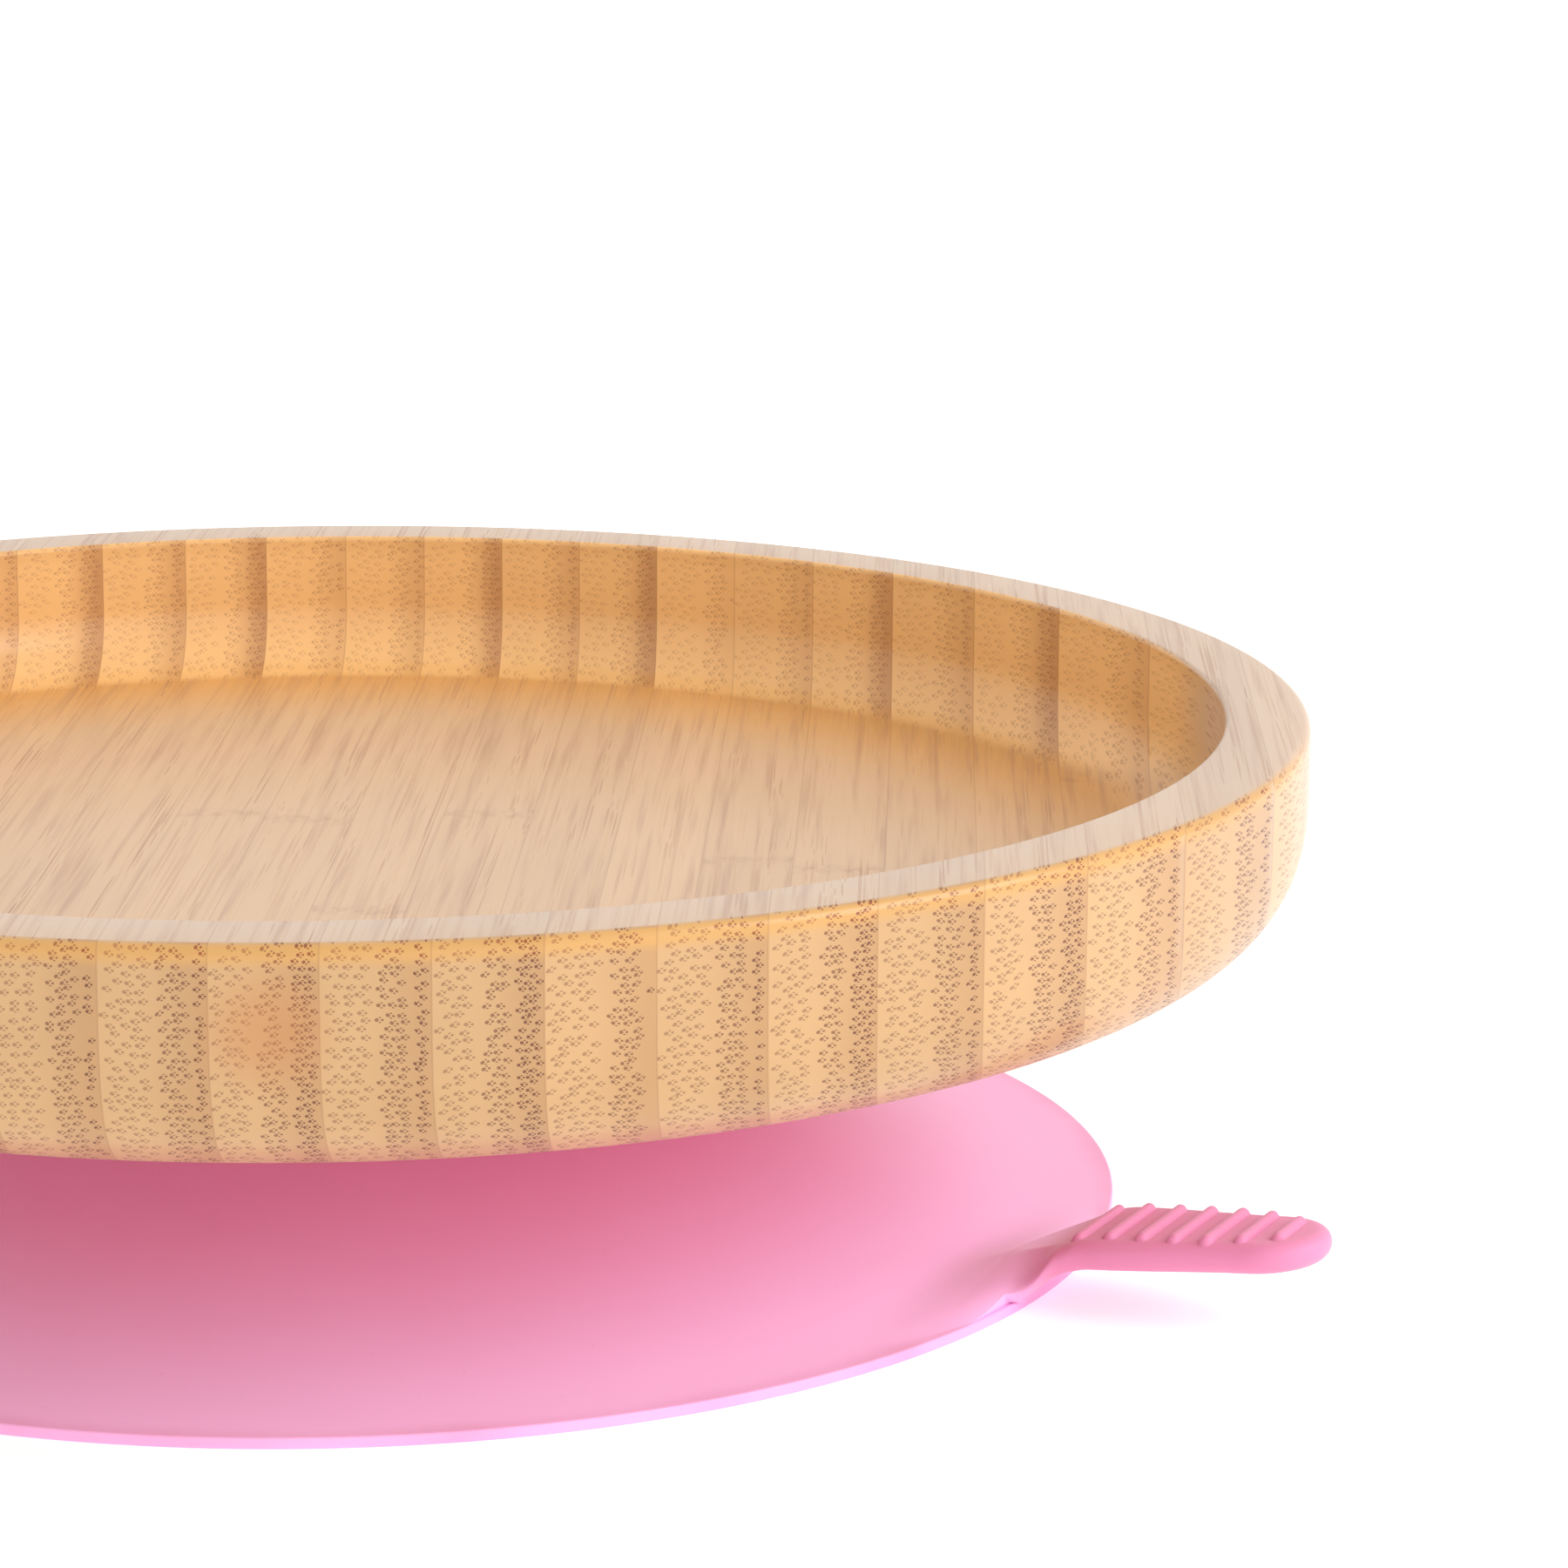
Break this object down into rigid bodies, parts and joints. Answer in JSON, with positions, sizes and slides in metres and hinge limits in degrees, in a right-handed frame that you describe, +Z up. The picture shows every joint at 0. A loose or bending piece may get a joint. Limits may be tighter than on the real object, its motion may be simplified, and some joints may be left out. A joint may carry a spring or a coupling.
{
  "type": "suction bowl",
  "caption": "Shallow round bowl of glued bamboo strips on a flared silicone suction base with a ribbed pull tab.",
  "frame": {"origin": "centre of the round base, on the table", "axes": "+Z up; the bamboo strips run along Y, and the pull tab points 24 degrees from +X towards -Y"},
  "size_m": [0.1805, 0.18, 0.0463],
  "materials": {
    "bamboo": "satin lacquer",
    "silicone": "matt"
  },
  "bodies": {
    "suction_skirt": {"suction_skirt": "silicone"},
    "collar_hub": {"collar_hub": "silicone"},
    "bowl": {"stave_01": "bamboo", "stave_02": "bamboo", "stave_03": "bamboo", "stave_04": "bamboo", "stave_05": "bamboo", "stave_06": "bamboo", "stave_07": "bamboo", "stave_08": "bamboo", "stave_09": "bamboo", "stave_10": "bamboo", "stave_11": "bamboo", "stave_12": "bamboo", "stave_13": "bamboo", "stave_14": "bamboo", "stave_15": "bamboo", "stave_16": "bamboo", "stave_17": "bamboo", "stave_18": "bamboo", "stave_19": "bamboo", "stave_20": "bamboo", "stave_21": "bamboo", "stave_22": "bamboo"},
    "pull_tab": {"pull_tab": "silicone"}
  },
  "joints": [
    {"name": "dome_press", "type": "slide", "parent": "suction_skirt", "child": "collar_hub", "axis": [0, 0, -1], "range_m": [0, 0.003], "stiffness_N_per_m": 2000, "springref_m": -0.001},
    {"name": "bowl_lift", "type": "slide", "parent": "collar_hub", "child": "bowl", "axis": [0, 0, 1], "range_m": [0, 0.035]},
    {"name": "tab_bend", "type": "hinge", "parent": "suction_skirt", "child": "pull_tab", "pos_m": [0.06669, -0.02969, 0.005], "axis": [-0.4067, -0.9135, 0], "range_deg": [-8, 42], "stiffness_Nm_per_rad": 0.03}
  ]
}
